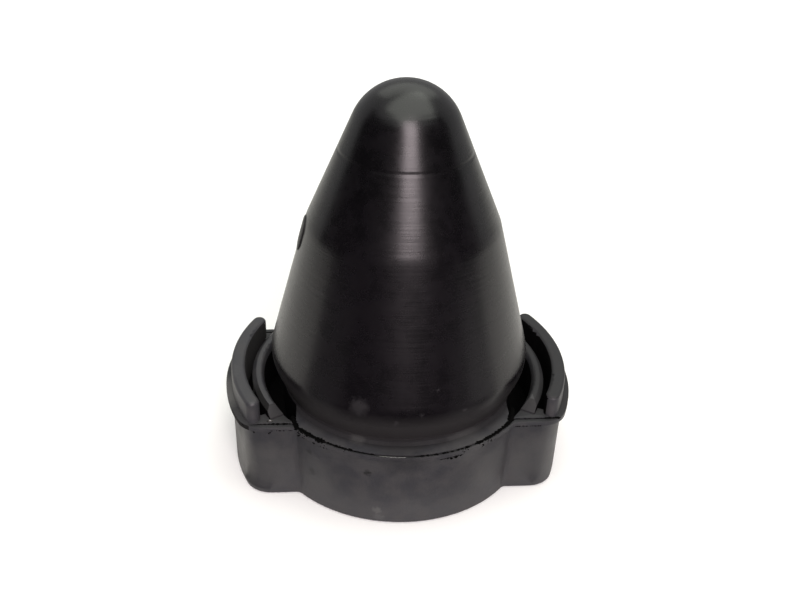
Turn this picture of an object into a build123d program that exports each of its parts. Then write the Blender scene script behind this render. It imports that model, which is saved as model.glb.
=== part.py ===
from build123d import *
from math import acos, asin, atan2, cos, degrees, radians, sin, sqrt, tan
import os

# A moulded rubber buffer: a domed cone with two tapers on a narrow neck, which
# stands on a round slab with a lug on each side. It is one solid piece of rubber.
# Millimetres. The origin is the centre of the flat underside, +Z runs up the
# cone's axis, and the two lugs point along +X and -X.

# Slab at its top edge; each draft is how much smaller it is at its foot
slab_height = 31.2
disc_past_bulge = 2.9
disc_draft = 1.2
lug_half_width = 32.0
lug_draft = 0.4
lug_corner_radius = 10.0
lug_root_radius = 3.0
foot_chamfer = 0.7

# Thin flash fin that the mould leaves round the slab's top edge
fin_thickness = 1.8
fin_on_disc = 0.6
fin_on_lug_end = 2.0
fin_on_lug_side = 0.6

# Fine parting groove in the slab's top, just inside the fin
groove_width = 0.9
groove_depth = 1.0
groove_inset_on_disc = 0.05
groove_inset_on_lug = 1.2

# Bulged foot of the cone, undercut down to the neck below it
bulge_radius = 47.5
bulge_bend_radius = 13.0
underside_angle = 23.0
neck_undercut = 3.9
neck_height = 2.2
neck_root_chamfer = 1.0

# Lower taper up to the break, upper taper from there into the dome
break_height = 97.0
break_radius = 34.2
dome_radius = 19.9
total_height = 146.4

# Fine ring cut into the upper taper as a V
ring_height = 123.0
ring_depth = 0.35
ring_width = 0.8

# Crescent pocket beside the neck, in the top of each lug, widest at its middle
pocket_width = 7.2
pocket_depth = 13.0
pocket_tip_inset = 1.1
pocket_end_overlap = 0.5
pocket_corner_radius = 0.8

# Low ridge outside the pocket: a flank that the pocket cuts, the crest, a sloped edge, the slot
ridge_set_back = 0.9
ridge_flank_width = 2.0
ridge_crest_width = 3.5
ridge_height = 4.0
ridge_end_inset = 4.0
ridge_top_round = 1.1
ridge_outer_chamfer = 1.5
ridge_end_chamfer = 3.4
slot_width = 2.4
slot_depth = 6.5
slot_end_margin = 3.7

# Raised arc wall outside the slot, rounded at both of its ends, and the lug's rim outside it
ear_thickness = 5.2
ear_height = 8.4
ear_end_inset = 2.4
ear_top_round = 1.4
lug_rim_width = 0.2

# Low bare pad on the cone's -X side, just below the break
pad_below_break = 5.6
pad_length = 11.0
pad_width = 7.0
pad_rise = 0.6
pad_sink = 1.5
pad_edge_chamfer = 0.25

# Radii that follow from these sizes, from the neck out to the lug's end
disc_radius = bulge_radius + disc_past_bulge
neck_radius = bulge_radius - neck_undercut
pocket_outer_radius = neck_radius + pocket_width
ridge_inner_radius = pocket_outer_radius + ridge_set_back
ridge_outer_radius = ridge_inner_radius + ridge_crest_width
ear_inner_radius = ridge_outer_radius + slot_width
ear_outer_radius = ear_inner_radius + ear_thickness
ear_middle_radius = (ear_inner_radius + ear_outer_radius) / 2
lug_reach = ear_outer_radius + lug_rim_width


def end_angle(radius, inset):
    """Angle at which an arc of this radius stops, the inset short of the lug's side."""
    return degrees(asin((lug_half_width - inset) / radius))


def tangent_angle(centre, radius, point, side):
    """Where a line from the point touches the circle, on its upper (+1) or lower (-1) side."""
    across = point[0] - centre[0]
    along = point[1] - centre[1]
    return degrees(atan2(along, across) + side * acos(radius / sqrt(across**2 + along**2)))


def lug_outline(half_width, reach, corner):
    """Both lugs as one bar with round ends, seen from above."""
    outline = Circle(reach) & Rectangle(2 * reach, 2 * half_width)
    return fillet(outline.vertices(), corner)


def drafted(foot, draft):
    """The foot outline raised to the slab's height, growing by the draft."""
    return extrude(foot, slab_height, taper=-degrees(atan2(draft, slab_height)))


def meets_disc(point, disc):
    """True where a lug's side starts from a disc of this radius."""
    return abs(Vector(point.X, point.Y).length - disc) < 0.01


def base_slab():
    """Drafted slab, rounded at the lugs' roots, chamfered at its foot, with the fin on top."""
    disc = drafted(Circle(disc_radius - disc_draft), disc_draft)
    lugs = lug_outline(lug_half_width - lug_draft, lug_reach - lug_draft, lug_corner_radius)
    slab = disc + drafted(lugs, lug_draft)
    tops = slab.vertices().filter_by(lambda v: v.Z > slab_height / 2 and meets_disc(v, disc_radius))
    roots = [e for e in slab.edges() if any(v in tops for v in e.vertices()) and abs((e % 0.5).Z) > 0.5]
    slab = fillet(roots, lug_root_radius)
    slab = chamfer(slab.faces().sort_by(Axis.Z)[0].edges(), foot_chamfer)
    lugs = lug_outline(lug_half_width + fin_on_lug_side, lug_reach + fin_on_lug_end, lug_corner_radius)
    fin = Circle(disc_radius + fin_on_disc) + lugs
    fin = fillet([v for v in fin.vertices() if meets_disc(v, disc_radius + fin_on_disc)], lug_root_radius)
    return slab + Pos(0, 0, slab_height - fin_thickness) * extrude(fin, fin_thickness)


def parting_groove():
    """Fine groove along the disc's edge and the lugs' flat sides."""
    disc = disc_radius - groove_inset_on_disc
    side = lug_half_width - groove_inset_on_lug
    lug_end = Circle(ear_outer_radius)
    outer = Circle(disc) + (lug_end & Rectangle(2 * ear_outer_radius, 2 * side))
    side -= groove_width
    inner = Circle(disc - groove_width) + (lug_end & Rectangle(2 * ear_outer_radius, 2 * side))
    return Pos(0, 0, slab_height - groove_depth) * extrude(outer - inner, groove_depth)


# Section of the cone, drawn flat; every point is (radius, height)
lean = radians(underside_angle)
neck_top = (neck_radius, slab_height + neck_height)
underside_reach = neck_undercut - bulge_bend_radius * (1 - cos(lean))
bulge_height = neck_top[1] + underside_reach / tan(lean) + bulge_bend_radius * sin(lean)
bulge_centre = (bulge_radius - bulge_bend_radius, bulge_height)
break_point = (break_radius, break_height)
bulge_top_angle = tangent_angle(bulge_centre, bulge_bend_radius, break_point, -1)
bulge = CenterArc(bulge_centre, bulge_bend_radius, -underside_angle, underside_angle + bulge_top_angle)
dome_centre = (0, total_height - dome_radius)
dome_angle = tangent_angle(dome_centre, dome_radius, break_point, 1)
dome = CenterArc(dome_centre, dome_radius, dome_angle, 90 - dome_angle)
lower_slope = ((bulge @ 1).X - break_radius) / (break_height - (bulge @ 1).Y)
upper_slope = (break_radius - (dome @ 0).X) / ((dome @ 0).Y - break_height)


def on_upper_taper(ring_widths, depth=0.0):
    """Point on the upper taper, this many ring widths above the ring and this deep into the rubber."""
    height = ring_height + ring_widths * ring_width
    return (break_radius - (height - break_height) * upper_slope - depth, height)


def cone():
    """Neck, bulged foot, two tapers with the fine ring between them, and dome, as one turned form."""
    root_out = (neck_radius + neck_root_chamfer, slab_height)
    root_up = (neck_radius, slab_height + neck_root_chamfer)
    ring = [on_upper_taper(-0.5), on_upper_taper(0, ring_depth), on_upper_taper(0.5)]
    section = [
        Polyline((0, slab_height), root_out, root_up, neck_top, bulge @ 0),
        bulge,
        Polyline(bulge @ 1, break_point, *ring, dome @ 0),
        dome,
        Line((0, total_height), (0, slab_height)),
    ]
    return revolve(Plane.XZ * make_face(section), Axis.Z)


def arc_block(section, half_angle):
    """Section of (radius, height) points swept about the Z axis, centred on +X."""
    face = Plane.XZ * make_face(Polyline(section, close=True))
    return Rot(0, 0, -half_angle) * revolve(face, Axis.Z, 2 * half_angle)


def ear():
    """Raised arc wall on the +X lug, rounded at both ends and along its top."""
    low = slab_height
    high = slab_height + ear_height
    half_angle = end_angle(ear_middle_radius, ear_end_inset + ear_thickness / 2)
    wall = arc_block(
        [
            (ear_inner_radius, low),
            (ear_outer_radius, low),
            (ear_outer_radius, high),
            (ear_inner_radius, high),
        ],
        half_angle,
    )
    end = Pos(ear_middle_radius, 0, (low + high) / 2) * Cylinder(ear_thickness / 2, ear_height)
    wall = wall + Rot(0, 0, half_angle) * end + Rot(0, 0, -half_angle) * end
    return fillet(wall.faces().sort_by(Axis.Z)[-1].edges(), ear_top_round)


def pocket_outline():
    """Crescent seen from above: its outer arc runs in to the lug's root at both ends."""
    start = sqrt(disc_radius**2 - lug_half_width**2) - pocket_end_overlap
    tip = sqrt((disc_radius - pocket_tip_inset) ** 2 - start**2)
    arc = ThreePointArc((start, -tip), (pocket_outer_radius, 0), (start, tip))
    crescent = make_face([arc, Line(arc @ 1, arc @ 0)]) - Circle(neck_radius)
    shortest = min(e.length for e in crescent.edges())
    return fillet(crescent.vertices(), min(pocket_corner_radius, 0.4 * shortest))


def ridge():
    """Low ridge on the +X lug: it rises from the pocket's edge and falls into the slot."""
    low = slab_height
    high = slab_height + ridge_height
    bar = arc_block(
        [
            (ridge_inner_radius - ridge_flank_width, low),
            (ridge_outer_radius, low),
            (ridge_outer_radius, high),
            (ridge_inner_radius, high),
        ],
        end_angle(ridge_outer_radius, ridge_end_inset),
    )
    crown = bar.faces().sort_by(Axis.Z)[-1]
    bar = chamfer(crown.edges().filter_by(GeomType.LINE), ridge_end_chamfer)
    crown = bar.faces().sort_by(Axis.Z)[-1]
    bar = chamfer(crown.edges().filter_by(GeomType.CIRCLE).sort_by(SortBy.RADIUS)[-1], ridge_outer_chamfer)
    crown = bar.faces().sort_by(Axis.Z)[-1]
    bar = fillet(crown.edges().filter_by(GeomType.CIRCLE).sort_by(SortBy.RADIUS)[0], ridge_top_round)
    return bar - Pos(0, 0, low) * extrude(pocket_outline(), ridge_height)


def slot():
    """Narrow slot between the ridge and the arc wall of the +X lug."""
    low = slab_height - slot_depth
    high = slab_height + ridge_height
    return arc_block(
        [
            (ridge_outer_radius, low),
            (ear_inner_radius, low),
            (ear_inner_radius, high),
            (ridge_outer_radius, high),
        ],
        end_angle(ridge_outer_radius, ridge_end_inset + slot_end_margin),
    )


def pocket():
    """Crescent pocket of the +X lug, from the neck out to the foot of the ridge."""
    height = pocket_depth + neck_root_chamfer
    return Pos(0, 0, slab_height - pocket_depth) * extrude(pocket_outline(), height)


def pad():
    """Low round-ended pad that lies on the lower taper, on the -X side."""
    radius = break_radius + pad_below_break * lower_slope
    normal = (1, 0, lower_slope)
    seat = Plane(origin=(radius, 0, break_height - pad_below_break), x_dir=(0, 1, 0), z_dir=normal)
    outline = seat.offset(-pad_sink) * SlotOverall(pad_length, pad_width, rotation=90)
    raised = extrude(outline, pad_sink + pad_rise)
    rim = raised.faces().sort_by(Axis((0, 0, 0), normal))[-1].edges()
    return Rot(0, 0, 180) * chamfer(rim, pad_edge_chamfer)


def rubber_buffer():
    """The whole buffer as one solid; the second lug is the first turned half round."""
    buffer = base_slab() + cone()
    for turn in (Rot(0, 0, 0), Rot(0, 0, 180)):
        buffer = buffer + turn * ear() + turn * ridge() - turn * slot() - turn * pocket()
    return buffer - parting_groove() + pad()


buffer = rubber_buffer()
buffer.label = "rubber_buffer"
print("bulge at height", round(bulge_height, 1), "- dome from height", round((dome @ 0).Y, 1))
print("solids", len(buffer.solids()), "- volume", round(buffer.volume / 1000, 1), "cm3")

os.makedirs("parts", exist_ok=True)
export_step(buffer, "parts/rubber_buffer.step")
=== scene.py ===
import bmesh
import bpy
import math
import random
from mathutils import Matrix, Vector


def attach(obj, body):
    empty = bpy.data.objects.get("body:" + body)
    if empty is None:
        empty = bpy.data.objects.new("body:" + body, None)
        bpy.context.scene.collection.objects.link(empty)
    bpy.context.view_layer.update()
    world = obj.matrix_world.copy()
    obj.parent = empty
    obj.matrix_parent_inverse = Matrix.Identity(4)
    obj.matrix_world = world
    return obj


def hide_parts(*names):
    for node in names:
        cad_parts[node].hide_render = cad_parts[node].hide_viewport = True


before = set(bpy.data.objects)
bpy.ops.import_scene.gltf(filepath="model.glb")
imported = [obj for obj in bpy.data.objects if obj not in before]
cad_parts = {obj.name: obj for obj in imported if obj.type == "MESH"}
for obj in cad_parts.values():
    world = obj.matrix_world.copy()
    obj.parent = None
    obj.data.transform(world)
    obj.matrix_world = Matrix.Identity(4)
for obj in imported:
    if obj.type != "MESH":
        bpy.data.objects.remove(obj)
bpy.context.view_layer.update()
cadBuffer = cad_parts["rubber_buffer"]
mm = 0.001  # sizes below are in millimetres
print("frame loaded")


def addNode(tree, kind, inputs=None, **settings):
    # each input is a plain value, a socket or a node, which stands for its first output
    node = tree.nodes.new(kind)
    for name, value in settings.items():
        setattr(node, name, value)
    for key, value in (inputs or {}).items():
        source = value.outputs[0] if isinstance(value, bpy.types.Node) else value
        if isinstance(source, bpy.types.NodeSocket):
            tree.links.new(source, node.inputs[key])
        else:
            node.inputs[key].default_value = source
    return node


def toLinear(hexColour):
    parts = [int(hexColour[i:i + 2], 16) / 255 for i in (1, 3, 5)]
    linear = [p / 12.92 if p <= 0.04045 else ((p + 0.055) / 1.055) ** 2.4 for p in parts]
    return (*linear, 1.0)


def perMetre(size):
    # a pattern's scale, from its real size in mm
    return 1 / (size * mm)


def newMaterial(name):
    material = bpy.data.materials.new(name)
    material.use_nodes = True
    material.node_tree.nodes.clear()
    return material, material.node_tree


def addObject(name, data):
    obj = bpy.data.objects.new(name, data)
    bpy.context.scene.collection.objects.link(obj)
    return obj


def newTree(name, sockets):
    # the tree and its inputs, the last of which is the material
    tree = bpy.data.node_groups.new(name, "GeometryNodeTree")
    for socketName, kind in {**sockets, "Material": "Material"}.items():
        tree.interface.new_socket(socketName, in_out="INPUT", socket_type="NodeSocket" + kind)
    tree.interface.new_socket("Geometry", in_out="OUTPUT", socket_type="NodeSocketGeometry")
    return tree, addNode(tree, "NodeGroupInput").outputs


def endTree(tree, geometry, material):
    real = addNode(tree, "GeometryNodeRealizeInstances", {"Geometry": geometry})
    done = addNode(tree, "GeometryNodeSetMaterial", {"Geometry": real, "Material": material})
    addNode(tree, "NodeGroupOutput", {"Geometry": done})


def applyModifiers(obj, name):
    depsgraph = bpy.context.evaluated_depsgraph_get()
    mesh = bpy.data.meshes.new_from_object(obj.evaluated_get(depsgraph), depsgraph=depsgraph)
    obj.modifiers.clear()
    mesh.name = name
    return mesh


def runTree(name, source, tree, values):
    # gives the source the tree with its inputs set, and returns the result as a plain mesh object
    modifier = source.modifiers.new(tree.name, "NODES")
    modifier.node_group = tree
    for item in tree.interface.items_tree:
        if item.in_out == "INPUT" and item.name in values:
            modifier[item.identifier] = values[item.name]
    mesh = applyModifiers(source, name)
    bpy.data.objects.remove(source)
    return addObject(name, mesh)


def openShape(mesh):
    shape = bmesh.new()
    shape.from_mesh(mesh)
    return shape


def closeShape(shape, mesh):
    shape.to_mesh(mesh)
    shape.free()
    return mesh


def openEdges(shape):
    return [edge for edge in shape.edges if len(edge.link_faces) != 2]


def setValues(mesh, name, values):
    mesh.attributes.new(name, "FLOAT", "POINT").data.foreach_set("value", values)


def shadeSmooth(shape, crispFrom):
    # shading runs on over every edge that turns less than this, in degrees
    for face in shape.faces:
        face.smooth = True
    for edge in shape.edges:
        edge.smooth = len(edge.link_faces) == 2 and edge.calc_face_angle(0) < math.radians(crispFrom)


# Black rubber, moulded in one shot: what all its surfaces share
rubber = {
    "ior": 1.52,
    "mottleSize": 7.0,  # mm, clouds of bloom
    "grainSize": 0.8,  # mm, real grain is about 0.2, drawn coarser so that it shows
    "spotWarpSize": 10 / 7,  # mm, seven ragged bits of a spot's edge to the centimetre
    "spotWarp": 3.5,  # mm, how far that edge wanders
    "spotCore": 0.45,  # share of a spot's radius that has its full strength
}


def newRubber(name):
    material, tree = newMaterial(name)
    return material, tree, addNode(tree, "ShaderNodeTexCoord").outputs["Object"]


def addMottle(tree, where):
    return addNode(tree, "ShaderNodeTexNoise", {
        "Vector": where, "Scale": perMetre(rubber["mottleSize"]), "Detail": 5.0, "Roughness": 0.6,
    })


def fromAxis(tree, where):
    # the way out from the part's axis
    return addNode(tree, "ShaderNodeVectorMath", {0: where, 1: (1.0, 1.0, 0.0)}, operation="MULTIPLY")


def addRaggedSpots(tree, where, paleSpots):
    # ragged spots, each ((x, y, z), radius, strength), in mm
    warp = addNode(tree, "ShaderNodeTexNoise", {
        "Vector": where, "Scale": perMetre(rubber["spotWarpSize"]), "Detail": 3.0,
    }).outputs["Color"]
    centred = addNode(tree, "ShaderNodeVectorMath", {0: warp, 1: (0.5, 0.5, 0.5)}, operation="SUBTRACT")
    moved = addNode(tree, "ShaderNodeVectorMath", {
        0: centred, 1: (rubber["spotWarp"] * mm,) * 3, 2: where,
    }, operation="MULTIPLY_ADD")
    mask = 0.0
    for place, radius, strength in paleSpots:
        away = addNode(tree, "ShaderNodeVectorMath", {
            0: moved, 1: tuple(c * mm for c in place),
        }, operation="DISTANCE").outputs["Value"]
        spot = addNode(tree, "ShaderNodeMapRange", {
            "Value": away, "From Min": rubber["spotCore"] * radius * mm, "From Max": radius * mm,
            "To Min": strength, "To Max": 0.0,
        })
        mask = addNode(tree, "ShaderNodeMath", {0: mask, 1: spot}, operation="MAXIMUM")
    return mask


def layColours(tree, hexColour, layers):
    # a base colour with others laid over it, each (mask, colour)
    colour = toLinear(hexColour)
    for mask, overlay in layers:
        colour = addNode(tree, "ShaderNodeMix", {
            "Factor": mask, 6: colour, 7: toLinear(overlay),
        }, data_type="RGBA").outputs[2]
    return colour


def layRelief(tree, layers):
    # bumps on top of one another, each (pattern, (strength, depth in mm))
    below = {}
    for pattern, (strength, depth) in layers:
        bump = addNode(tree, "ShaderNodeBump", {
            "Height": pattern, "Strength": strength, "Distance": depth * mm, **below,
        })
        below = {"Normal": bump}
    return bump


def addSkin(tree, inputs):
    skin = addNode(tree, "ShaderNodeBsdfPrincipled", {"IOR": rubber["ior"], **inputs})
    addNode(tree, "ShaderNodeOutputMaterial", {"Surface": skin})


# Rubber from a smooth mould: nearly black with a soft gloss, so that it shows dark with clear
# reflections, and with fine marks down it and round it
smoothSkin = {
    "colour": "#070608",
    "cloudColour": "#0d0b0e",
    "lowColour": "#0f0c10",  # on the lower taper, where a little more bloom dulls the black
    "lowFade": (85.0, 120.0),  # mm, the heights between which that fades out
    "undercutPaintedLightColour": "#292728",  # painted light on the undercut: a paler grey that lifts its shade to the cone's tone
    "undercutFade": (40.0, 46.5),  # mm, likewise
    "bloomRoughness": 0.25,  # what the bloom adds there
    "paleSpotColour": "#3a383a",
    "coneRoughness": 0.27,
    "padRoughness": 0.55,  # the mould is blasted there, so it moulds the pad matt
    "unevenness": (-0.02, 0.03),  # of the roughness
    # the reliefs are (strength, depth in mm)
    "flowSize": 3.5,  # mm across the faint flow lines that run down the cone
    "flowRadius": 40.0,  # mm, where the flow lines are that wide
    "flowStretch": 0.04,  # how little they change on the way down
    "flowRelief": (0.02, 0.03),
    "toolSize": 1.3,  # mm between the mould's turning marks, drawn coarser too
    "toolStretch": 0.03,  # how little they change on the way round
    "toolRelief": (0.8, 0.05),
    "grainRelief": (0.1, 0.03),
    # scuffs on the cone
    "paleSpots": [
        ((-16.8, -44.1, 47.9), 4.0, 0.4), ((4.0, -47.1, 46.2), 1.1, 0.3),
        ((9.5, -44.8, 55.0), 1.0, 0.4), ((-4.6, -47.0, 43.0), 0.9, 0.4),
        ((19.2, -43.4, 45.5), 0.8, 0.4), ((-9.0, -38.0, 75.0), 1.1, 0.4),
    ],
}


def smoothRelief(tree, where):
    look = smoothSkin
    # flow lines run down the cone: fine round the axis, drawn out along it
    outward = fromAxis(tree, where)
    around = addNode(tree, "ShaderNodeVectorMath", {0: outward}, operation="NORMALIZE")
    spread = addNode(tree, "ShaderNodeVectorMath", {
        0: around, "Scale": look["flowRadius"] * mm,
    }, operation="SCALE")
    along = addNode(tree, "ShaderNodeVectorMath", {
        0: where, 1: (0.0, 0.0, look["flowStretch"]), 2: spread,
    }, operation="MULTIPLY_ADD")
    flow = addNode(tree, "ShaderNodeTexNoise", {
        "Vector": along, "Scale": perMetre(look["flowSize"]), "Detail": 3.0, "Roughness": 0.6,
    })
    # turning marks run round it: fine along the axis
    upright = addNode(tree, "ShaderNodeVectorMath", {
        0: where, 1: (look["toolStretch"], look["toolStretch"], 1.0),
    }, operation="MULTIPLY")
    toolMarks = addNode(tree, "ShaderNodeTexNoise", {
        "Vector": upright, "Scale": perMetre(look["toolSize"]), "Detail": 2.0, "Roughness": 0.7,
    })
    grain = addNode(tree, "ShaderNodeTexNoise", {
        "Vector": where, "Scale": perMetre(rubber["grainSize"]), "Detail": 3.0, "Roughness": 0.6,
    })
    return layRelief(tree, [
        (flow, look["flowRelief"]), (toolMarks, look["toolRelief"]), (grain, look["grainRelief"]),
    ])


def makeSmoothRubber(name, roughness):
    look = smoothSkin
    material, tree, where = newRubber(name)
    height = addNode(tree, "ShaderNodeSeparateXYZ", {0: where}).outputs["Z"]
    mottle = addMottle(tree, where)
    clouds = addNode(tree, "ShaderNodeMapRange", {"Value": mottle, "From Min": 0.42, "From Max": 0.62})
    # the lower taper's duller tone, and the undercut's painted light with its bloom's roughness, each
    # fading out going up
    lower, under = (addNode(tree, "ShaderNodeMapRange", {
        "Value": height, "From Min": start * mm, "From Max": end * mm, "To Min": 1.0, "To Max": 0.0,
    }) for start, end in (look["lowFade"], look["undercutFade"]))
    patchy = addNode(tree, "ShaderNodeMapRange", {
        "Value": mottle, "From Min": 0.3, "From Max": 0.6, "To Min": 0.35, "To Max": 1.0,
    })
    dulled = addNode(tree, "ShaderNodeMath", {0: lower, 1: patchy}, operation="MULTIPLY")
    paleSpotted = addRaggedSpots(tree, where, look["paleSpots"])
    colour = layColours(tree, look["colour"], [
        (clouds, look["cloudColour"]), (dulled, look["lowColour"]),
        (under, look["undercutPaintedLightColour"]), (paleSpotted, look["paleSpotColour"]),
    ])
    low, high = (roughness + change for change in look["unevenness"])
    polish = addNode(tree, "ShaderNodeMapRange", {
        "Value": mottle, "From Min": 0.3, "From Max": 0.7, "To Min": low, "To Max": high,
    })
    gloss = addNode(tree, "ShaderNodeMath", {
        0: under, 1: look["bloomRoughness"], 2: polish,
    }, operation="MULTIPLY_ADD")
    addSkin(tree, {"Base Color": colour, "Roughness": gloss, "Normal": smoothRelief(tree, where)})
    return material


# Rubber with a dull bloom, as on the slab: dark grey and dusty, so that it shows softly lit,
# with painted shade in its recesses, on some edges and tops, and on the ledge under the bulge
dullSkin = {
    "colour": "#323236",
    "paleColour": "#3a393b",
    "ledgePaintedShadeColour": "#0d0b0e",  # painted shade under the bulge's overhang, as dark as the cone; dusty there too
    "ledgeFade": (44.5, 47.0),  # mm from the axis, where that fades out
    "ledgeShade": 0.8,
    "ledgeRoughness": 0.4,  # what the dust adds there
    # painted shade, laid on as far as the slab's recess attribute says
    "recessPaintedShadeColour": "#040404",
    "recessRoughness": 0.4,  # what the shade in a recess adds
    "roughness": 0.47,
    "unevenness": (-0.06, 0.08),  # of the roughness
    "dentRelief": (0.35, 0.4),  # strength, depth in mm
    "grainRelief": (0.3, 0.05),
    "footShade": 0.96,  # darker towards the bottom
    "footFade": (1.0, 9.0),  # mm, the heights between which that fades out
    "paleSpotColour": "#585856",
    # pale spots: the two lowest are scuffs, the one on the neck's foot is a painted glint, the two on the
    # left lug's fin and side are painted light from the left, and the rest are broad pale patches
    "paleSpots": [
        ((-9.5, -48.6, 2.6), 2.0, 0.35), ((-10.2, -48.6, 5.8), 2.0, 0.5),
        ((-17.0, -40.4, 31.9), 3.5, 0.25), ((-64.5, -10.0, 29.5), 12.0, 0.8),
        ((-62.0, -25.0, 13.0), 14.0, 0.95), ((-50.0, -32.2, 13.0), 12.0, 0.25),
        ((50.0, -32.2, 14.0), 13.0, 0.3), ((30.2, -39.7, 17.0), 11.0, 0.3),
        ((-32.5, -38.2, 15.0), 10.0, 0.2), ((2.0, -49.6, 9.0), 5.0, 0.1),
        ((22.0, -43.0, 31.3), 9.0, 0.25),
    ],
    "darkSpotColour": "#070608",
    # darker spots: three small ones on the slab's wall and a broad one over the ledge's front
    "darkSpots": [
        ((-13.7, -48.2, 23.1), 1.6, 0.7), ((-34.0, -36.9, 24.0), 1.8, 0.35),
        ((-33.0, -37.2, 15.0), 2.0, 0.3), ((-2.0, -47.0, 31.3), 11.0, 0.3),
    ],
}


def makeDullRubber():
    look = dullSkin
    material, tree, where = newRubber("dullMouldedRubber")
    height = addNode(tree, "ShaderNodeSeparateXYZ", {0: where}).outputs["Z"]
    outward = fromAxis(tree, where)
    radius = addNode(tree, "ShaderNodeVectorMath", {0: outward}, operation="LENGTH").outputs["Value"]
    mottle = addMottle(tree, where)
    grain = addNode(tree, "ShaderNodeTexNoise", {
        "Vector": where, "Scale": perMetre(rubber["grainSize"]), "Detail": 4.0, "Roughness": 0.65,
    })
    pale = addNode(tree, "ShaderNodeMapRange", {"Value": mottle, "From Min": 0.4, "From Max": 0.62})
    # painted shade on the ledge under the bulge's overhang, fading out away from the axis; the same mask
    # makes it rougher
    start, end = look["ledgeFade"]
    ledge = addNode(tree, "ShaderNodeMapRange", {
        "Value": radius, "From Min": start * mm, "From Max": end * mm,
        "To Min": look["ledgeShade"], "To Max": 0.0,
    })
    # the slab's own attribute says how much painted shade each corner takes
    depth = addNode(tree, "ShaderNodeAttribute", attribute_name="recess").outputs["Fac"]
    recess = addNode(tree, "ShaderNodeClamp", {"Value": depth})
    paleSpotted = addRaggedSpots(tree, where, look["paleSpots"])
    darkSpotted = addRaggedSpots(tree, where, look["darkSpots"])
    colour = layColours(tree, look["colour"], [
        (pale, look["paleColour"]), (ledge, look["ledgePaintedShadeColour"]),
        (recess, look["recessPaintedShadeColour"]), (paleSpotted, look["paleSpotColour"]),
        (darkSpotted, look["darkSpotColour"]),
    ])
    start, end = look["footFade"]
    foot = addNode(tree, "ShaderNodeMapRange", {
        "Value": height, "From Min": start * mm, "From Max": end * mm,
        "To Min": look["footShade"], "To Max": 1.0,
    })
    footDarkened = addNode(tree, "ShaderNodeMix", {
        "Factor": 1.0, 6: colour, 7: foot,
    }, data_type="RGBA", blend_type="MULTIPLY").outputs[2]
    low, high = (look["roughness"] + change for change in look["unevenness"])
    uneven = addNode(tree, "ShaderNodeMapRange", {
        "Value": mottle, "From Min": 0.3, "From Max": 0.7, "To Min": low, "To Max": high,
    })
    dusty = addNode(tree, "ShaderNodeMath", {
        0: ledge, 1: look["ledgeRoughness"], 2: uneven,
    }, operation="MULTIPLY_ADD")
    gloss = addNode(tree, "ShaderNodeMath", {
        0: recess, 1: look["recessRoughness"], 2: dusty,
    }, operation="MULTIPLY_ADD", use_clamp=True)
    relief = layRelief(tree, [(mottle, look["dentRelief"]), (grain, look["grainRelief"])])
    addSkin(tree, {"Base Color": footDarkened, "Roughness": gloss, "Normal": relief})
    return material


# Plainer surfaces of the rubber, each a base colour with paler clouds
plainSkins = {
    # painted shade: a black copy of the rubber with nearly no gloss, for deep in the pockets and slots,
    # where no light gets in
    "shadedRubber": {
        "colour": "#020202", "paleColour": "#080708", "paleFade": (0.0, 1.0), "cloudSize": 3.0,
        "cloudDetail": 4.0, "roughness": (0.8, 0.8), "sockets": {"Specular IOR Level": 0.05},
    },
    # torn where the flash came off and took the moulded skin with it: crumbly and matt, and painted
    # blackest with nearly no gloss, so that it also paints shade
    "tornAndShadeRubber": {
        "colour": "#020202", "paleColour": "#0f0d0e", "paleFade": (0.55, 0.75), "cloudSize": 0.5,
        "cloudDetail": 4.0, "roughness": (0.85, 0.85), "sockets": {"Specular IOR Level": 0.06},
        "relief": (0.8, 0.15),  # strength, depth in mm
    },
    # thin flash pressed between the mould's halves: polished, so that its edge glints
    "pressedRubber": {
        "colour": "#2b2b2a", "paleColour": "#45453f", "paleFade": (0.4, 0.65), "cloudSize": 2.0,
        "cloudDetail": 3.0, "roughness": (0.15, 0.34), "sockets": {"Specular IOR Level": 0.6, "IOR": 1.55},
    },
}


def makePlainRubber(name):
    look = plainSkins[name]
    material, tree, where = newRubber(name)
    clouds = addNode(tree, "ShaderNodeTexNoise", {
        "Vector": where, "Scale": perMetre(look["cloudSize"]), "Detail": look["cloudDetail"],
    })
    (start, end), (low, high) = look["paleFade"], look["roughness"]
    pale = addNode(tree, "ShaderNodeMapRange", {"Value": clouds, "From Min": start, "From Max": end})
    gloss = addNode(tree, "ShaderNodeMapRange", {"Value": clouds, "To Min": low, "To Max": high})
    colour = layColours(tree, look["colour"], [(pale, look["paleColour"])])
    skin = {"Base Color": colour, "Roughness": gloss, **look["sockets"]}
    if "relief" in look:
        skin["Normal"] = layRelief(tree, [(clouds, look["relief"])])
    addSkin(tree, skin)
    return material


smoothRubber = makeSmoothRubber("smoothMouldedRubber", smoothSkin["coneRoughness"])
blastedRubber = makeSmoothRubber("blastedMouldedRubber", smoothSkin["padRoughness"])
dullRubber = makeDullRubber()
shadedRubber = makePlainRubber("shadedRubber")
tornAndShadeRubber = makePlainRubber("tornAndShadeRubber")
pressedRubber = makePlainRubber("pressedRubber")
print("rubber made")


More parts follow.
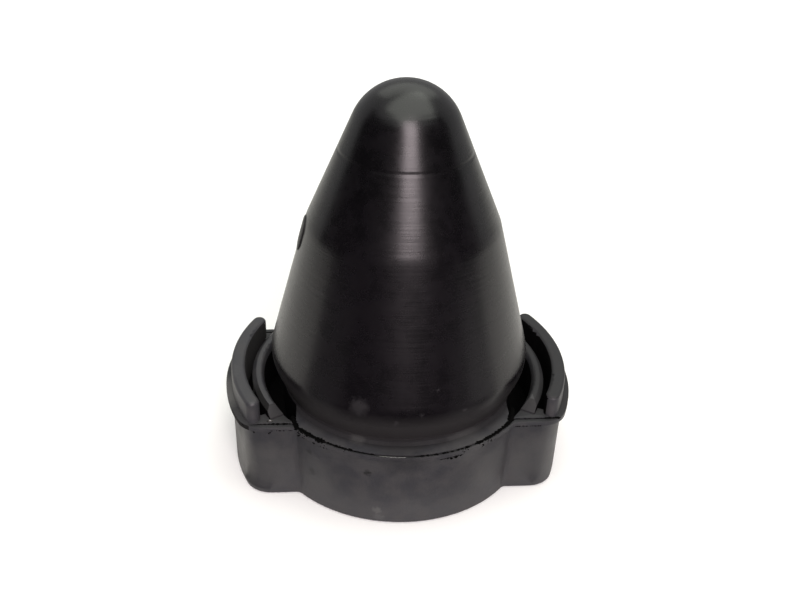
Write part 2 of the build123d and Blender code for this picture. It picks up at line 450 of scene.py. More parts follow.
# Cone: a turned form, so its half section goes once round the axis
cone = {
    "hiddenFoot": [(0.0, 32.0), (43.3, 32.0), (43.5, 32.9), (43.6, 33.1)],  # closes it inside the slab
    "neckRadius": 43.6,
    "neckTop": 33.4,
    "undersideLean": 23.0,  # degrees
    "bulgeRadius": 47.5,
    "bulgeRound": 13.0,
    "breakRadius": 34.2,
    "breakHeight": 97.0,
    "breakRound": 0.45,  # mm, how far the break is rounded each way
    "breakOut": 0.13,  # mm, how much wider the cone is where that starts
    "breakIn": 0.05,  # mm, what the rounding takes off the break itself
    "ringHeight": 123.0,
    "ringDepth": 0.1,
    "ringWidth": 1.25,
    # the ring's section, as shares of its width and depth
    "ringSection": [(-0.9, 0.0), (-0.5, 0.02), (-0.2, 0.9), (0.2, 0.9), (0.5, 0.02), (0.9, 0.0)],
    "domeRadius": 19.9,
    "topHeight": 146.4,
    "undersideStep": 1.5,  # mm between points
    "taperStep": 1.8,
    "bulgeSteps": 10,
    "domeSteps": 26,
    "turns": 288,  # steps round the axis
    "weld": 0.002,  # mm, what closes the seam and the poles
    "waviness": 0.08,  # mm, how far the skin wanders from a true turned form
    "waveSize": 16.0,  # mm
}


def touchAngle(centre, radius, point, side):
    # where on a circle a straight line from the point touches it
    across, along = point[0] - centre[0], point[1] - centre[1]
    return math.atan2(along, across) + side * math.acos(radius / math.hypot(across, along))


def onCircle(radius, angle, centre=(0.0, 0.0)):
    return centre[0] + radius * math.cos(angle), centre[1] + radius * math.sin(angle)


def conePoints():
    # the half section as (radius, height), from inside the foot up to the dome's top
    lean = math.radians(cone["undersideLean"])
    bulgeStart = cone["bulgeRadius"] - cone["bulgeRound"] * (1 - math.cos(lean))
    startHeight = cone["neckTop"] + (bulgeStart - cone["neckRadius"]) / math.tan(lean)
    centreHeight = startHeight + cone["bulgeRound"] * math.sin(lean)
    bulgeCentre = (cone["bulgeRadius"] - cone["bulgeRound"], centreHeight)
    breakRadius, breakHeight, breakRound = cone["breakRadius"], cone["breakHeight"], cone["breakRound"]
    bulgeEnd = touchAngle(bulgeCentre, cone["bulgeRound"], (breakRadius, breakHeight), -1)
    domeCentre = (0.0, cone["topHeight"] - cone["domeRadius"])
    domeStart = touchAngle(domeCentre, cone["domeRadius"], (breakRadius, breakHeight), 1)
    domeFoot = onCircle(cone["domeRadius"], domeStart, domeCentre)
    slope = (breakRadius - domeFoot[0]) / (domeFoot[1] - breakHeight)
    points = cone["hiddenFoot"] + [(cone["neckRadius"], cone["neckTop"])]

    def straight(end, step):
        start = points[-1]
        count = max(1, round(math.dist(start, end) / step))
        for i in range(1, count + 1):
            points.append(tuple(s + (e - s) * i / count for s, e in zip(start, end)))

    def arc(centre, radius, start, end, count):
        for i in range(1, count + 1):
            points.append(onCircle(radius, start + (end - start) * i / count, centre))

    def upperRadius(height):
        return breakRadius - (height - breakHeight) * slope

    straight((bulgeStart, startHeight), cone["undersideStep"])
    arc(bulgeCentre, cone["bulgeRound"], -lean, bulgeEnd, cone["bulgeSteps"])
    straight((breakRadius + cone["breakOut"], breakHeight - breakRound), cone["taperStep"])
    points.append((breakRadius - cone["breakIn"], breakHeight))
    points.append((upperRadius(breakHeight + breakRound), breakHeight + breakRound))
    ring = []
    for offset, depth in cone["ringSection"]:
        height = cone["ringHeight"] + offset * cone["ringWidth"]
        ring.append((upperRadius(height) - depth * cone["ringDepth"], height))
    straight(ring[0], cone["taperStep"])
    points.extend(ring[1:])
    straight(domeFoot, cone["taperStep"])
    arc(domeCentre, cone["domeRadius"], domeStart, math.pi / 2, cone["domeSteps"])
    points[-1] = (0.0, cone["topHeight"])
    return points


def makeCone():
    points = conePoints()
    section = bpy.data.meshes.new("coneSection")
    edges = [(i, i + 1) for i in range(len(points) - 1)]
    section.from_pydata([(radius * mm, 0, height * mm) for radius, height in points], edges, [])
    tree, given = newTree("turnedForm", {
        "Section": "Geometry", "Rows": "Int", "Turns": "Int", "Waviness": "Float", "Wave Scale": "Float",
    })
    # a grid, of which each column becomes the section at its own turn
    columns = addNode(tree, "ShaderNodeMath", {0: given["Turns"], 1: 1.0}, operation="ADD")
    grid = addNode(tree, "GeometryNodeMeshGrid", {"Vertices X": columns, "Vertices Y": given["Rows"]})
    index = addNode(tree, "GeometryNodeInputIndex")
    row = addNode(tree, "ShaderNodeMath", {0: index, 1: given["Rows"]}, operation="MODULO")
    share = addNode(tree, "ShaderNodeMath", {0: index, 1: given["Rows"]}, operation="DIVIDE")
    column = addNode(tree, "ShaderNodeMath", {0: share}, operation="FLOOR")
    turn = addNode(tree, "ShaderNodeMath", {0: column, 1: given["Turns"]}, operation="DIVIDE")
    angle = addNode(tree, "ShaderNodeMath", {0: turn, 1: 2 * math.pi}, operation="MULTIPLY")
    place = addNode(tree, "GeometryNodeInputPosition")
    point = addNode(tree, "GeometryNodeSampleIndex", {
        "Geometry": given["Section"], "Value": place, "Index": row,
    }, data_type="FLOAT_VECTOR")
    turned = addNode(tree, "ShaderNodeVectorRotate", {
        "Vector": point, "Angle": angle,
    }, rotation_type="Z_AXIS")
    placed = addNode(tree, "GeometryNodeSetPosition", {"Geometry": grid, "Position": turned})
    closed = addNode(tree, "GeometryNodeMergeByDistance", {
        "Geometry": placed, "Distance": cone["weld"] * mm,
    })
    # slow waves in the skin, which make the reflections' edges wander
    waves = addNode(tree, "ShaderNodeTexNoise", {"Scale": given["Wave Scale"], "Detail": 2.0})
    centred = addNode(tree, "ShaderNodeMath", {0: waves, 1: 0.5}, operation="SUBTRACT")
    shift = addNode(tree, "ShaderNodeMath", {0: centred, 1: given["Waviness"]}, operation="MULTIPLY")
    normal = addNode(tree, "GeometryNodeInputNormal")
    offset = addNode(tree, "ShaderNodeVectorMath", {0: normal, "Scale": shift}, operation="SCALE")
    waved = addNode(tree, "GeometryNodeSetPosition", {"Geometry": closed, "Offset": offset})
    smooth = addNode(tree, "GeometryNodeSetShadeSmooth", {"Geometry": waved})
    endTree(tree, smooth, given["Material"])
    return runTree("cone", addObject("coneSection", section), tree, {
        "Rows": len(points), "Turns": cone["turns"], "Waviness": cone["waviness"] * mm,
        "Wave Scale": perMetre(cone["waveSize"]), "Material": smoothRubber,
    })


# At the front the cone's ring is torn, and its torn bits take the black, glossless painted-shade rubber, in
# a broken line
tornPaintedShadeRing = {
    "seed": 5,
    "from": -122.0,  # degrees round the axis
    "to": -56.0,
    "bite": 2.5,  # degrees, each is torn or whole
    "height": 0.7,  # mm above and below the ring's middle
    "tornShare": 0.65,  # of the bites
    "middleHeight": 0.3,  # mm above and below, where more of them are torn
    "middleTornShare": 0.85,
}


def tearAndShadeRing(skin):
    shape = openShape(skin.data)
    bmesh.ops.recalc_face_normals(shape, faces=shape.faces)
    # the painted-shade rubber, for the torn bits
    skin.data.materials.append(shadedRubber)
    dice = random.Random(tornPaintedShadeRing["seed"])
    bites = [dice.random() for i in range(cone["turns"])]
    for face in shape.faces:
        middle = face.calc_center_median() / mm
        turn = math.degrees(math.atan2(middle.y, middle.x))
        off = abs(middle.z - cone["ringHeight"])
        if off < tornPaintedShadeRing["height"] and tornPaintedShadeRing["from"] < turn < tornPaintedShadeRing["to"]:
            share = tornPaintedShadeRing["middleTornShare"] if off < tornPaintedShadeRing["middleHeight"] else tornPaintedShadeRing["tornShare"]
            # turns are negative here, so they count back from the list's end
            if bites[int(turn / tornPaintedShadeRing["bite"])] < share:
                face.material_index = 1
    print("cone made:", len(shape.faces), "faces, open edges", len(openEdges(shape)))
    closeShape(shape, skin.data)


coneSkin = makeCone()
tearAndShadeRing(coneSkin)


# Slab with its lugs: a copy of the CAD solid below the neck, with its crisp edges rounded
slab = {
    "neckCut": 33.0,  # mm, hidden inside the cone's skin
    "neckReach": 48.9,  # mm from the axis, only what lies within is cut
    "weld": 0.001,  # mm
    "flatTo": 0.4,  # degrees, faces that turn less than this become one
    "topHeight": 31.2,
    "discRadius": 50.4,
    "edgeRound": 0.22,  # mm
    "edgeSteps": 2,
    "roundFrom": 38.0,  # degrees, edges that turn more than this are rounded
    "crispFrom": 32.0,  # degrees, shading stops at edges that turn more than this
    "blackFrom": 15.0,  # mm, no recess goes lower
    # (where painted shade starts, how far it grows to full), in mm: down the left slot's walls, and
    # towards the front along the ridge's shoulder and the fin's edge
    "slotFade": (43.4, 4.0),
    "shoulderFade": (-6.0, 9.0),
    "finFade": (4.0, 10.0),
    # one painted shade for the whole zone; the first that fits counts
    "zoneShades": {"ridgeEnd": 0.6, "rightTop": 0.55, "lugTop": 0.4},
}

# The zones of the slab that take painted shade, each as ranges that a face lies in, in mm: its middle's
# x, y and z, their size without sign, its distance from the axis, and how far its normal points
# up, away from the axis and to the front, from -1 to 1
top = slab["topHeight"]
far = 99.0  # mm, past everything
slabZones = {
    "pocket": {"z": (-far, top - 0.12), "radius": (-far, 49.6)},
    "lugPocket": {"z": (-far, top - 0.12), "sizeX": (38.0, far), "radius": (-far, 51.2)},
    "discWall": {"radius": (48.0, far), "out": (0.0, far)},
    "groove": {"z": (top - 1.2, top - 0.12), "radius": (-far, 62.7)},
    "grooveWall": {"up": (-far, 0.5), "out": (0.0, far)},
    "slotWall": {"sizeY": (-far, 29.4), "radius": (54.9, 57.9), "up": (-0.5, 0.5)},
    "slotFloor": {"z": (-far, top - 0.5), "radius": (54.5, 58.5), "up": (0.9, far)},
    "rightSlotEnd": {
        "x": (0.0, far), "y": (-31.5, 0.0), "radius": (54.5, 59.5), "up": (-0.5, 0.5), "out": (-far, -0.45),
    },
    "leftSlotEnd": {
        "x": (-far, 0.0), "y": (-30.0, -12.0), "radius": (53.9, 56.0), "up": (-0.5, 0.5), "out": (0.5, far),
    },
    "ridgeShoulder": {
        "x": (-far, 0.0), "y": (-30.0, 0.0), "radius": (53.0, 56.0), "up": (0.5, 0.9), "out": (0.5, far),
    },
    "finEdge": {
        "x": (-far, -52.0), "y": (-31.3, far), "z": (29.45, 31.0), "radius": (59.5, far), "up": (-0.6, 0.6),
    },
    "ridgeEnd": {"sizeY": (22.0, 29.0), "z": (top + 0.1, far), "radius": (45.0, 54.0), "front": (0.3, far)},
    "rightTop": {"x": (48.0, far), "z": (top - 0.1, far), "up": (0.5, far)},
    "lugTop": {"z": (top - 0.1, top + 0.1), "radius": (slab["discRadius"], far), "up": (0.9, far)},
}


def findZones(face):
    x, y, z = (c / mm for c in face.center)
    radius = math.hypot(x, y)
    measures = {
        "x": x, "y": y, "z": z, "sizeX": abs(x), "sizeY": abs(y), "radius": radius, "up": face.normal.z,
        "out": (face.normal.x * x + face.normal.y * y) / radius, "front": -face.normal.y,
    }
    return {zone for zone, ranges in slabZones.items()
            if all(low < measures[name] < high for name, (low, high) in ranges.items())}


# faces that take the black, glossless painted-shade rubber: in the pockets, the groove, the slots' floors
# and ends, and on the right slot's walls
def isBlack(face, zones):
    inPocket = zones & {"pocket", "lugPocket"} and "discWall" not in zones
    inGroove = "groove" in zones and "grooveWall" not in zones
    inSlot = zones & {"slotFloor", "rightSlotEnd", "leftSlotEnd"}
    onRightWall = "slotWall" in zones and face.center.x > 0
    isHigh = face.center.z > slab["blackFrom"] * mm
    return isHigh and bool(inPocket or inGroove or inSlot or onRightWall)


# how much painted shade each corner of a face takes
def shadeAt(place, zones):
    if "slotWall" in zones:
        start, reach = slab["slotFade"]
        return (start - place.z) / reach
    if "ridgeShoulder" in zones:
        start, reach = slab["shoulderFade"]
        return (start - place.y) / reach
    if "finEdge" in zones:
        start, reach = slab["finFade"]
        return min(1.0, max(0.0, (start - place.y) / reach))
    return next((shade for zone, shade in slab["zoneShades"].items() if zone in zones), 0.0)


def shadeSlab(mesh):
    recess = mesh.attributes.new("recess", "FLOAT", "CORNER")
    for face in mesh.polygons:
        zones = findZones(face)
        if isBlack(face, zones):
            face.material_index = 1
        for corner in face.loop_indices:
            place = mesh.vertices[mesh.loops[corner].vertex_index].co / mm
            recess.data[corner].value = shadeAt(place, zones)


def copyCad():
    # the CAD node's loose triangles as one closed shape
    shape = openShape(cadBuffer.data)
    bmesh.ops.remove_doubles(shape, verts=shape.verts, dist=slab["weld"] * mm)
    return shape


def cutSlab():
    shape = copyCad()
    cut, reach = slab["neckCut"] * mm, slab["neckReach"] * mm
    inner = [f for f in shape.faces if all(math.hypot(*v.co.xy) < reach for v in f.verts)]
    geometry = inner + list({e for f in inner for e in f.edges}) + list({v for f in inner for v in f.verts})
    bmesh.ops.bisect_plane(shape, geom=geometry, plane_co=(0, 0, cut), plane_no=(0, 0, 1))
    middles = {f: f.calc_center_median() for f in shape.faces}
    above = [f for f, middle in middles.items() if middle.z > cut and math.hypot(*middle.xy) < reach]
    bmesh.ops.delete(shape, geom=above, context="FACES")
    bmesh.ops.contextual_create(shape, geom=openEdges(shape))
    flatTo = math.radians(slab["flatTo"])
    bmesh.ops.dissolve_limit(shape, angle_limit=flatTo, verts=shape.verts, edges=shape.edges)
    print("slab cut:", len(shape.faces), "faces, open edges", len(openEdges(shape)))
    return closeShape(shape, bpy.data.meshes.new("cutSlab"))


def makeSlab():
    obj = addObject("slab", cutSlab())
    for material in (dullRubber, shadedRubber):
        obj.data.materials.append(material)
    bevel = obj.modifiers.new("edges", "BEVEL")
    bevel.width = slab["edgeRound"] * mm
    bevel.segments = slab["edgeSteps"]
    bevel.limit_method = "ANGLE"
    bevel.angle_limit = math.radians(slab["roundFrom"])
    obj.data = applyModifiers(obj, "slab")
    shape = openShape(obj.data)
    bmesh.ops.triangulate(shape, faces=shape.faces)
    shadeSmooth(shape, slab["crispFrom"])
    shadeSlab(closeShape(shape, obj.data))
    return obj


slabBody = makeSlab()
print("slab made:", len(slabBody.data.polygons), "faces")


# Pad on the cone's side: the CAD's own faces that stand proud of the taper, closed behind
padShape = {
    "heights": (84.0, 98.0),  # mm, where it is looked for
    "reach": 4.0,  # mm to each side
    "proud": 0.12,  # mm past the taper, from where it counts
    "taperFoot": 47.0,  # mm, the height where the lower taper starts
    "centre": (-35.7, 0.0, 91.4),
    "wider": 1.35,  # worn wider and lower than it was moulded
    "taller": 1.2,
    "sunk": 0.42,  # mm
    "rimDepth": 0.8,  # mm that its edge goes on down into the cone's skin, so that no gap shows
    "crispFrom": 75.0,  # degrees
}


def makePad():
    slope = (cone["bulgeRadius"] - cone["breakRadius"]) / (cone["breakHeight"] - padShape["taperFoot"])
    low, high = padShape["heights"]
    shape = copyCad()

    def isProud(vertex):
        x, y, z = (c / mm for c in vertex.co)
        past = math.hypot(x, y) - cone["breakRadius"] - (cone["breakHeight"] - z) * slope
        return x < 0 and abs(y) < padShape["reach"] and low < z < high and past > padShape["proud"]

    others = [f for f in shape.faces if not any(isProud(v) for v in f.verts)]
    bmesh.ops.delete(shape, geom=others, context="FACES")
    centre = Vector(padShape["centre"]) * mm
    wider, taller = padShape["wider"], padShape["taller"]
    for vertex in shape.verts:
        offset = vertex.co - centre
        inward = padShape["sunk"] * mm + slope * (taller - 1) * offset.z
        vertex.co = centre + Vector((offset.x + inward, offset.y * wider, offset.z * taller))
    added = bmesh.ops.extrude_edge_only(shape, edges=openEdges(shape))["geom"]
    lower = [v for v in added if isinstance(v, bmesh.types.BMVert)]
    bmesh.ops.translate(shape, vec=(padShape["rimDepth"] * mm, 0, 0), verts=lower)
    bmesh.ops.contextual_create(shape, geom=openEdges(shape))
    bmesh.ops.triangulate(shape, faces=shape.faces)
    bmesh.ops.recalc_face_normals(shape, faces=shape.faces)
    shadeSmooth(shape, padShape["crispFrom"])
    print("pad made:", len(shape.faces), "faces, open edges", len(openEdges(shape)))
    mesh = closeShape(shape, bpy.data.meshes.new("pad"))
    mesh.materials.append(blastedRubber)
    return addObject("pad", mesh)


pad = makePad()


# Flash: strings of rubber that follow the parting line, each along an arc of the disc or a
# straight run on a lug
flashStrings = {
    "step": 0.3,  # mm between points along a string
    "sides": 7,
    "blunt": (0.15, 0.3),  # share of the width at a string's end, and what each point adds
    "wanderSize": 1.6,  # mm along the string
    "seed": 4.0,
    "sag": 0.12,  # share of the wander by which a string hangs lower
    "rise": 0.45,  # how much less it wanders up and down than sideways
    "biteScale": 2.3,  # bites in its edge for each wander
}


def stringPoints(kind, start, end):
    isLine = kind == "line"
    length = math.dist(start, end) if isLine else math.radians(abs(end[1] - start[1])) * start[0]
    count = max(2, round(length / flashStrings["step"]))
    points = []
    for i in range(count + 1):
        first, second = (s + (e - s) * i / count for s, e in zip(start, end))
        points.append((first, second) if isLine else onCircle(first, math.radians(second)))
    return points


def flashTree():
    tree, given = newTree("flashString", {
        "Path": "Geometry", "Wander": "Float", "Wander Scale": "Float", "Seed": "Float",
        "Flatness": "Float", "Tilt": "Float",
    })
    seedShift = addNode(tree, "ShaderNodeCombineXYZ", {0: given["Seed"], 1: given["Seed"]})
    place = addNode(tree, "GeometryNodeInputPosition")
    scaled = addNode(tree, "ShaderNodeVectorMath", {
        0: place, "Scale": given["Wander Scale"],
    }, operation="SCALE")
    where = addNode(tree, "ShaderNodeVectorMath", {0: scaled, 1: seedShift}, operation="ADD")
    drift = addNode(tree, "ShaderNodeTexNoise", {
        "Vector": where, "Scale": 1.0, "Detail": 3.0, "Roughness": 0.7,
    }).outputs["Color"]
    centred = addNode(tree, "ShaderNodeVectorMath", {
        0: drift, 1: (0.5, 0.5, 0.5 + flashStrings["sag"]),
    }, operation="SUBTRACT")
    sideways = addNode(tree, "ShaderNodeVectorMath", {
        0: centred, 1: (1.0, 1.0, flashStrings["rise"]),
    }, operation="MULTIPLY")
    offset = addNode(tree, "ShaderNodeVectorMath", {
        0: sideways, "Scale": given["Wander"],
    }, operation="SCALE")
    curve = addNode(tree, "GeometryNodeMeshToCurve", {"Mesh": given["Path"]})
    moved = addNode(tree, "GeometryNodeSetPosition", {"Geometry": curve, "Offset": offset})
    upright = addNode(tree, "GeometryNodeSetCurveNormal", {"Curve": moved}, mode="Z_UP")
    # each string's half width and raggedness come with its points
    width, ragged = (
        addNode(tree, "GeometryNodeInputNamedAttribute", {"Name": name}, data_type="FLOAT")
        for name in ("halfWidth", "raggedness"))
    bites = addNode(tree, "ShaderNodeTexNoise", {
        "Vector": where, "Scale": flashStrings["biteScale"], "Detail": 2.0, "Roughness": 0.8,
    })
    bitten = addNode(tree, "ShaderNodeMapRange", {
        "Value": bites, "From Min": 0.35, "From Max": 0.65, "To Min": -1.0, "To Max": 1.0,
    })
    share = addNode(tree, "ShaderNodeMath", {0: bitten, 1: ragged, 2: 1.0}, operation="MULTIPLY_ADD")
    radius = addNode(tree, "ShaderNodeMath", {0: width, 1: share}, operation="MULTIPLY")
    ring = addNode(tree, "GeometryNodeCurvePrimitiveCircle", {
        "Resolution": flashStrings["sides"], "Radius": 1.0,
    })
    squash = addNode(tree, "ShaderNodeCombineXYZ", {0: 1.0, 1: given["Flatness"], 2: 1.0})
    lean = addNode(tree, "ShaderNodeCombineXYZ", {2: given["Tilt"]})
    flat = addNode(tree, "GeometryNodeTransform", {"Geometry": ring, "Scale": squash, "Rotation": lean})
    tube = addNode(tree, "GeometryNodeCurveToMesh", {
        "Curve": upright, "Profile Curve": flat, "Scale": radius, "Fill Caps": True,
    })
    smooth = addNode(tree, "GeometryNodeSetShadeSmooth", {"Geometry": tube})
    endTree(tree, smooth, given["Material"])
    return tree


def makeFlash(name, flash, material):
    vertices, edges, widths, ragged = [], [], [], []
    blunt, grow = flashStrings["blunt"]
    for kind, start, end, height, halfWidth, raggedness in flash["runs"]:
        points = stringPoints(kind, start, end)
        edges += [(len(vertices) + i, len(vertices) + i + 1) for i in range(len(points) - 1)]
        for i, (x, y) in enumerate(points):
            taper = min(1.0, blunt + grow * min(i, len(points) - 1 - i))
            vertices.append((x * mm, y * mm, height * mm))
            widths.append(halfWidth * taper * mm)
            ragged.append(raggedness)
    path = bpy.data.meshes.new(name + "Path")
    path.from_pydata(vertices, edges, [])
    setValues(path, "halfWidth", widths)
    setValues(path, "raggedness", ragged)
    return runTree(name, addObject(name + "Path", path), flashTree(), {
        "Wander": flash["wander"] * mm, "Wander Scale": perMetre(flashStrings["wanderSize"]),
        "Seed": flashStrings["seed"], "Flatness": flash["flatness"], "Tilt": math.radians(flash["tilt"]),
        "Material": material,
    })


# Torn flash: ragged strings, painted black so that they also stand in for the shade in the groove, under
# the fin and at the pockets' tips
tornFlashAndShade = {
    "wander": 0.5,  # mm sideways
    "flatness": 0.55,
    "tilt": 0.0,  # degrees
    "runs": [
        # start and end as (radius, degrees) or (x, y); height, half width, raggedness
        ("arc", (50.1, -138.9), (50.1, -124), 31.1, 0.95, 0.45),
        ("arc", (50.75, -138.9), (50.75, -133.5), 30.2, 0.4, 0.7),
        ("arc", (49.9, -124), (49.9, -112), 31.1, 0.58, 0.55),
        ("arc", (49.9, -112), (49.9, -103), 31.05, 0.36, 0.5),
        ("arc", (50.2, -88), (50.3, -62), 31.05, 0.46, 0.6),
        ("arc", (50.2, -62), (49.6, -44), 31.15, 0.7, 0.5),
        ("line", (34.8, -36.0), (38.2, -31.6), 31.15, 0.7, 0.4),
        ("line", (38.0, -32.4), (40.4, -23.5), 31.1, 1.1, 0.25),
        ("line", (-39.8, -25.6), (-38.0, -34.0), 31.1, 0.95, 0.3),
        ("arc", (50.75, -78), (50.7, -67), 29.3, 0.34, 0.8),
        ("arc", (50.7, -131), (50.65, -121), 29.5, 0.3, 0.9),
        ("line", (-54.5, -30.5), (-39.2, -30.6), 31.05, 0.3, 0.6),
        ("line", (-48.5, -30.5), (-40.2, -30.5), 31.2, 0.45, 0.6),
        ("line", (38.6, -30.6), (55.0, -30.4), 31.05, 0.3, 0.5),
        ("line", (50.5, -30.5), (57.0, -30.2), 31.15, 0.45, 0.5),
        ("line", (-48.0, -32.35), (-38.9, -32.4), 29.9, 0.3, 0.6),
        ("line", (38.9, -32.4), (50.0, -32.35), 29.5, 0.32, 0.5),
        # along the left fin's edge, painting the shade under it
        ("arc", (64.3, -152.0), (64.45, -177.0), 30.7, 0.36, 0.4),
    ],
}
flash = makeFlash("tornFlashAndShade", tornFlashAndShade, tornAndShadeRubber)
print("torn flash made:", len(flash.data.polygons), "faces")

# Flash lip: at the front some flash is still whole, a smooth lip bent so that it catches the light
flashLip = {
    "wander": 0.12,  # mm sideways
    "flatness": 0.35,
    "tilt": 57.0,  # degrees
    "runs": [
        ("arc", (50.55, -102.5), (50.6, -90.5), 31.05, 0.42, 0.15),
        ("line", (-52.5, -32.05), (-39.5, -32.1), 30.75, 0.4, 0.3),
        ("line", (39.5, -32.1), (50.5, -32.05), 30.75, 0.36, 0.3),
        ("line", (-48.9, -28.9), (-46.6, -28.9), 31.45, 0.6, 0.0),
    ],
}
lip = makeFlash("flashLip", flashLip, pressedRubber)
print("flash lip made:", len(lip.data.polygons), "faces")


# Crumbs of torn rubber, at the places where they hang in the photograph
crumbs = {
    "seed": 11,
    "size": 0.55,  # mm, half width of a middling crumb
    "spread": (0.5, 1.35),  # of that size
    "squash": (1.0, 0.62, 0.75),
    "mostTurn": 6.28,  # radians
    "twist": 1.7,  # turns about the second axis for each about the others
    "lumpSize": 10 / 19,  # mm, nineteen lumps to the centimetre
    "lumpHeight": 0.8,  # mm
    "lumpSeed": 2.0,
    "places": [
        # (radius, degrees) of the stretch, lowest and highest, how many, how large
        ((50.75, -139.0), (50.8, -134.0), 28.2, 30.4, 14, 0.6),
        ((50.75, -126.0), (50.75, -124.2), 28.9, 30.8, 7, 0.6),
        ((50.75, -119.0), (50.7, -114.0), 29.7, 31.0, 10, 0.6),
        ((50.65, -73.5), (50.65, -68.5), 28.5, 29.6, 15, 0.75),
        ((50.8, -68.5), (50.8, -64.5), 30.2, 31.2, 6, 0.6),
        ((50.8, -60.0), (50.8, -51.0), 29.6, 31.0, 15, 0.65),
        ((57.2, -145.9), (57.8, -146.3), 28.3, 29.6, 4, 0.5),
        ((62.0, -148.9), (62.3, -149.2), 28.6, 29.5, 3, 0.4),
    ],
}


def crumbPoints():
    dice = random.Random(crumbs["seed"])
    points, turns, sizes = [], [], []
    for (radius, start), (endRadius, end), low, high, count, scale in crumbs["places"]:
        for i in range(count):
            share = dice.random()
            turn = math.radians(start + (end - start) * share)
            reach = (radius + (endRadius - radius) * share) * mm
            points.append((*onCircle(reach, turn), dice.uniform(low, high) * mm))
            turns.append(dice.uniform(0, crumbs["mostTurn"]))
            sizes.append(crumbs["size"] * scale * dice.uniform(*crumbs["spread"]) * mm)
    cloud = bpy.data.meshes.new("crumbPoints")
    cloud.from_pydata(points, [], [])
    setValues(cloud, "turn", turns)
    setValues(cloud, "size", sizes)
    return addObject("crumbPoints", cloud)


def makeCrumbs():
    tree, given = newTree("crumbs", {
        "Points": "Geometry", "Lump Height": "Float", "Lump Scale": "Float", "Seed": "Float",
    })
    ball = addNode(tree, "GeometryNodeMeshIcoSphere", {"Radius": 1.0, "Subdivisions": 2})
    turn, size = (
        addNode(tree, "GeometryNodeInputNamedAttribute", {"Name": name}, data_type="FLOAT")
        for name in ("turn", "size"))
    twist = addNode(tree, "ShaderNodeMath", {0: turn, 1: crumbs["twist"]}, operation="MULTIPLY")
    facing = addNode(tree, "ShaderNodeCombineXYZ", {0: turn, 1: twist, 2: turn})
    squashed = addNode(tree, "GeometryNodeTransform", {"Geometry": ball, "Scale": crumbs["squash"]})
    placed = addNode(tree, "GeometryNodeInstanceOnPoints", {
        "Points": given["Points"], "Instance": squashed, "Rotation": facing, "Scale": size,
    })
    # made real before its lumps, so that each crumb gets lumps of its own
    real = addNode(tree, "GeometryNodeRealizeInstances", {"Geometry": placed})
    place = addNode(tree, "GeometryNodeInputPosition")
    lumps = addNode(tree, "ShaderNodeTexNoise", {
        "Vector": place, "W": given["Seed"], "Scale": given["Lump Scale"], "Detail": 2.0,
    }, noise_dimensions="4D").outputs["Color"]
    centred = addNode(tree, "ShaderNodeVectorMath", {0: lumps, 1: (0.5, 0.5, 0.5)}, operation="SUBTRACT")
    push = addNode(tree, "ShaderNodeVectorMath", {
        0: centred, "Scale": given["Lump Height"],
    }, operation="SCALE")
    rough = addNode(tree, "GeometryNodeSetPosition", {"Geometry": real, "Offset": push})
    endTree(tree, rough, given["Material"])
    return runTree("tornCrumbs", crumbPoints(), tree, {
        "Lump Height": crumbs["lumpHeight"] * mm, "Lump Scale": perMetre(crumbs["lumpSize"]),
        "Seed": crumbs["lumpSeed"], "Material": tornAndShadeRubber,
    })


tornCrumbs = makeCrumbs()
print("crumbs made:", len(tornCrumbs.data.polygons), "faces")

for piece in (coneSkin, slabBody, pad, flash, lip, tornCrumbs):
    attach(piece, "root")
    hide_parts("rubber_buffer")


# Camera, matched to the photograph's angle
view = {
    "position": (-0.02894, -0.31021, 0.24635),  # metres
    "right": (0.99676, -0.07460, 0.03006),
    "up": (0.01193, 0.50683, 0.86196),
    "lens": 44.28,
    "sensorWidth": 36.0,
    "nearest": 10.0,  # mm
}


def makeCamera():
    data = bpy.data.cameras.new("camera")
    data.lens = view["lens"]
    data.sensor_width = view["sensorWidth"]
    data.clip_start = view["nearest"] * mm
    camera = addObject("camera", data)
    right = Vector(view["right"]).normalized()
    back = right.cross(Vector(view["up"])).normalized()
    turned = Matrix((right, back.cross(right), back)).transposed().to_4x4()
    camera.matrix_world = Matrix.Translation(view["position"]) @ turned
    bpy.context.scene.camera = camera


makeCamera()


# Pale paper floor, with the shadow kept
floorPaper = {
    "radius": 3000.0,
    "sides": 64,
    "colour": "#f4f4f3",
    "inGloss": "#e2e1de",  # the floor as reflections see it
    "lift": (0.12, 1.0),  # what the camera sees above the lamps' own light, near and far
    "liftReach": (150.0, 1200.0),  # mm from the middle
}


def makeFloor():
    shape = bmesh.new()
    radius, sides = floorPaper["radius"] * mm, floorPaper["sides"]
    bmesh.ops.create_circle(shape, cap_ends=True, segments=sides, radius=radius)
    mesh = closeShape(shape, bpy.data.meshes.new("floor"))
    material, tree = newMaterial("paleFloor")
    ray = addNode(tree, "ShaderNodeLightPath").outputs
    colour = layColours(tree, floorPaper["colour"], [(ray["Is Glossy Ray"], floorPaper["inGloss"])])
    where = addNode(tree, "ShaderNodeTexCoord").outputs["Object"]
    away = addNode(tree, "ShaderNodeVectorMath", {0: where}, operation="LENGTH").outputs["Value"]
    (low, high), (start, end) = floorPaper["lift"], floorPaper["liftReach"]
    raised = addNode(tree, "ShaderNodeMapRange", {
        "Value": away, "From Min": start * mm, "From Max": end * mm, "To Min": low, "To Max": high,
    })
    lift = addNode(tree, "ShaderNodeMath", {0: ray["Is Camera Ray"], 1: raised}, operation="MULTIPLY")
    paper = addNode(tree, "ShaderNodeBsdfDiffuse", {"Color": colour})
    glow = addNode(tree, "ShaderNodeEmission", {"Strength": lift})
    both = addNode(tree, "ShaderNodeAddShader", {0: paper, 1: glow})
    addNode(tree, "ShaderNodeOutputMaterial", {"Surface": both})
    mesh.materials.append(material)
    return addObject("floor", mesh)


floor = makeFloor()


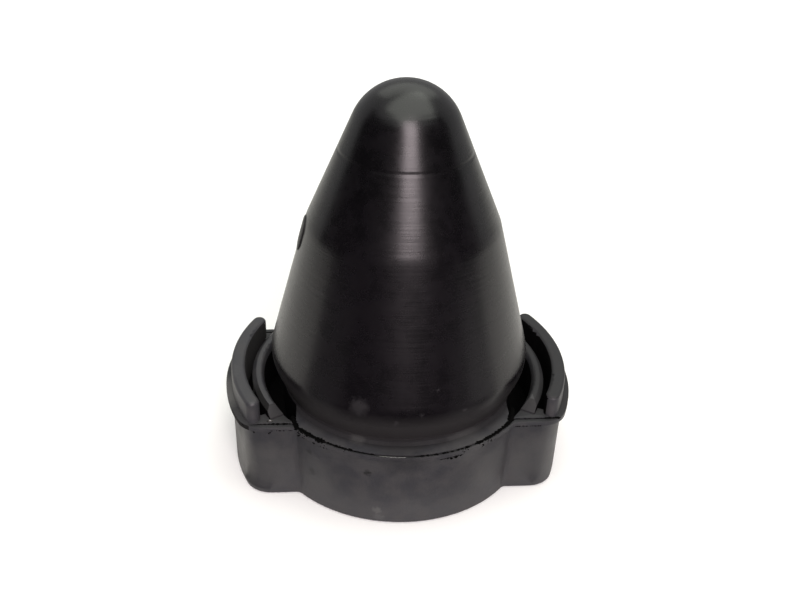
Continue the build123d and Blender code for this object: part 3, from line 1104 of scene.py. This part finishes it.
# Dark card in front, which reflections alone see and which keeps the cone's front dark, from
# its edge on the floor by the slab to its upright top
card = {
    # radius, height, and how far it turns left and right in degrees
    "rows": [
        (58.0, 2.0, 62, 62), (170.0, 2.0, 74, 80), (950.0, 2.0, 79, 85),
        (950.0, 3.0, 104, 95), (950.0, 900.0, 104, 95),
    ],
    "middle": -95.0,  # degrees, the way that it faces
    "steps": 32,
    "papers": {"darkCard": "#080808", "greyCard": "#646464", "paleCard": "#a0a0a0"},
    "flatTo": 2.2,  # mm, the height that its flat part stays under
    "greyFrom": (46, 40),  # degrees left and right where its flat part turns grey
    "paleFrom": 59,  # degrees right where its far part turns paler still
    "paleReach": 200.0,  # mm from the middle, where the far part starts
}


def paperIndex(panel):
    turn = math.degrees(math.atan2(panel.center.y, panel.center.x)) - card["middle"]
    turn -= 360 if turn > 180 else 0
    left, right = card["greyFrom"]
    if panel.center.z > card["flatTo"] * mm or -left < turn < right:
        return 0
    return 2 if turn > card["paleFrom"] and panel.center.length > card["paleReach"] * mm else 1


def makeCard():
    rows, steps = card["rows"], card["steps"]
    corners, panels = [], []
    for i in range(steps + 1):
        side = 2 * i / steps - 1
        for radius, height, left, right in rows:
            turn = math.radians(card["middle"] + side * (left if side < 0 else right))
            corners.append((*onCircle(radius * mm, turn), height * mm))
    for i in range(steps):
        for j in range(len(rows) - 1):
            first = len(rows) * i + j
            panels.append((first, first + len(rows), first + len(rows) + 1, first + 1))
    mesh = bpy.data.meshes.new("darkCard")
    mesh.from_pydata(corners, [], panels)
    for name, colour in card["papers"].items():
        material, tree = newMaterial(name)
        paper = addNode(tree, "ShaderNodeBsdfDiffuse", {"Color": toLinear(colour)})
        addNode(tree, "ShaderNodeOutputMaterial", {"Surface": paper})
        mesh.materials.append(material)
    for panel in mesh.polygons:
        panel.material_index = paperIndex(panel)
    obj = addObject("darkCard", mesh)
    obj.visible_camera = obj.visible_diffuse = obj.visible_shadow = False
    return obj


darkCard = makeCard()


# Light: a white room and three soft lamps
room = {"colour": "#ffffff", "fill": 0.35, "inGloss": 0.4}
lamps = {
    # places and sizes in mm
    "overhead": {"at": (75, -130, 1000), "size": (1250, 950), "power": 6.7, "colour": "#fbfff4"},
    "back": {"at": (55, 640, 940), "size": (1250, 620), "power": 2.3, "colour": "#fbfff4"},
    "front": {"at": (55, -860, 565), "size": (385, 780), "power": 7.9, "colour": "#fff0f4"},
}
lampAim = (0, 0, 70)  # mm, where they all point


def makeRoom():
    world = bpy.data.worlds.new("studio")
    bpy.context.scene.world = world
    world.use_nodes = True
    tree = world.node_tree
    tree.nodes.clear()
    ray = addNode(tree, "ShaderNodeLightPath").outputs
    inGloss = addNode(tree, "ShaderNodeMix", {
        "Factor": ray["Is Glossy Ray"], "A": room["fill"], "B": room["inGloss"],
    })
    strength = addNode(tree, "ShaderNodeMix", {"Factor": ray["Is Camera Ray"], "A": inGloss, "B": 1.0})
    sky = addNode(tree, "ShaderNodeBackground", {"Color": toLinear(room["colour"]), "Strength": strength})
    addNode(tree, "ShaderNodeOutputWorld", {"Surface": sky})


def makeLamp(name, lamp):
    data = bpy.data.lights.new(name, "AREA")
    data.shape = "RECTANGLE"
    data.size, data.size_y = (s * mm for s in lamp["size"])
    data.energy = lamp["power"]
    data.color = toLinear(lamp["colour"])[:3]
    light = addObject(name, data)
    light.location = Vector(lamp["at"]) * mm
    aim = Vector(lampAim) * mm - light.location
    light.rotation_euler = aim.to_track_quat("-Z", "Y").to_euler()


makeRoom()
for name, lamp in lamps.items():
    makeLamp(name, lamp)
print("studio made")

bpy.context.scene.view_settings.view_transform = "Standard"
